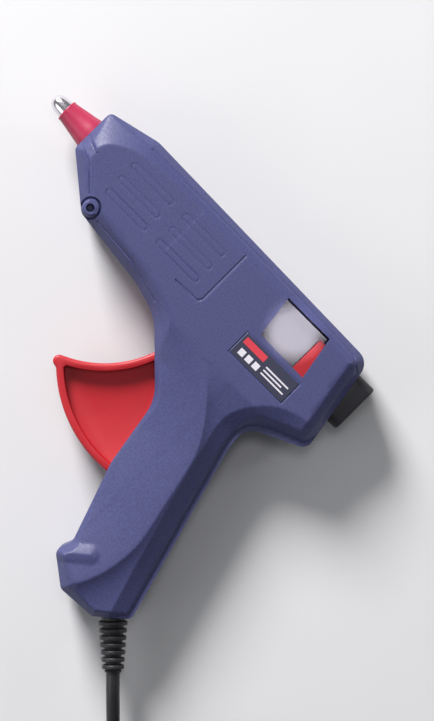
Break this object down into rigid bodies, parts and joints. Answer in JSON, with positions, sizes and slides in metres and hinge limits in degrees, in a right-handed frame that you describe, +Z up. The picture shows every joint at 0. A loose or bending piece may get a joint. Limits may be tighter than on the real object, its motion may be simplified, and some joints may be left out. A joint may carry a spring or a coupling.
{
  "type": "hot melt glue gun",
  "caption": "Pistol-grip hot glue gun on its side: split casing, silicone-sleeved nozzle, lever trigger driving a spring-returned stick carriage, and a mains cord coiled to its plug.",
  "frame": {"origin": "on the floor under the middle of the gun without its free cord, the gun lying on its right side", "axes": "+X from the nozzle to the glue stick inlet, +Y from the grip to the top of the barrel, +Z up, out of the left side of the casing"},
  "size_m": [0.3274, 0.2452, 0.0535],
  "materials": {
    "casing_plastic": "dark blue injection-moulded plastic with a fine spark texture",
    "red_plastic": "glossy red injection-moulded plastic",
    "red_silicone": "red heat-resistant silicone, satin",
    "clear_silicone": "translucent off-white silicone tube",
    "nozzle_metal": "turned bright metal",
    "cast_metal": "die-cast metal",
    "heater_ceramic": "fired ceramic heater in polyimide foil",
    "fibre_board": "pressed heat-resistant fibre board",
    "steel": "zinc-plated steel",
    "black_plastic": "black moulded plastic",
    "cord_rubber": "black flexible cord sheath",
    "brown_insulation": "brown wire insulation",
    "blue_insulation": "blue wire insulation",
    "connector_plastic": "cream crimp covers",
    "printed_label": "printed film label with plain bars in place of wording",
    "white_tie": "white plastic tie",
    "plug_plastic": "black moulded plug plastic",
    "plug_brass": "brass plug pins",
    "fuse_plastic": "red fuse carrier"
  },
  "bodies": {
    "root": {"left_casing": "casing_plastic", "right_casing": "casing_plastic", "casing_screws": "steel", "heating_chamber": "cast_metal", "heater_element": "heater_ceramic", "heater_clip": "steel", "nozzle": "nozzle_metal", "nozzle_sleeve": "red_silicone", "front_insulator": "fibre_board", "rear_insulator": "fibre_board", "stick_sleeve": "clear_silicone", "sleeve_clip": "steel", "inlet_collar": "black_plastic", "return_spring": "steel", "trigger_pin": "steel", "cord_clamp": "black_plastic", "cord_clamp_screws": "steel", "inner_cord": "cord_rubber", "live_wire": "brown_insulation", "neutral_wire": "blue_insulation", "wire_connectors": "connector_plastic", "rating_label": "printed_label", "strain_relief": "cord_rubber", "cord": "cord_rubber", "cord_coil": "cord_rubber", "cord_ties": "white_tie", "cord_end": "cord_rubber", "plug_relief": "cord_rubber", "plug_body": "plug_plastic", "plug_pins": "plug_brass", "fuse_carrier": "fuse_plastic"},
    "trigger": {"trigger": "red_plastic"},
    "carriage": {"carriage": "red_plastic", "drive_pin": "steel", "clamp_pin": "steel"},
    "clamp": {"stick_clamp": "steel"}
  },
  "joints": [
    {"name": "trigger_pull", "type": "hinge", "parent": "root", "child": "trigger", "pos_m": [0.03125, 0.02645, 0.017], "axis": [0, 0, 1], "range_deg": [0, 24], "stiffness_Nm_per_rad": 0.6, "springref_deg": -17.19},
    {"name": "carriage_slide", "type": "slide", "parent": "root", "child": "carriage", "axis": [-1, 0, 0], "range_m": [0, 0.011], "deforming": ["return_spring"]},
    {"name": "clamp_tilt", "type": "hinge", "parent": "carriage", "child": "clamp", "pos_m": [0.07075, 0.05705, 0.017], "axis": [0, 0, 1], "range_deg": [0, 9]}
  ],
  "couplings": [
    {"joint": "carriage_slide", "follows": "trigger_pull", "m_per_rad": 0.02557},
    {"joint": "clamp_tilt", "follows": "trigger_pull", "ratio": 0.35}
  ]
}
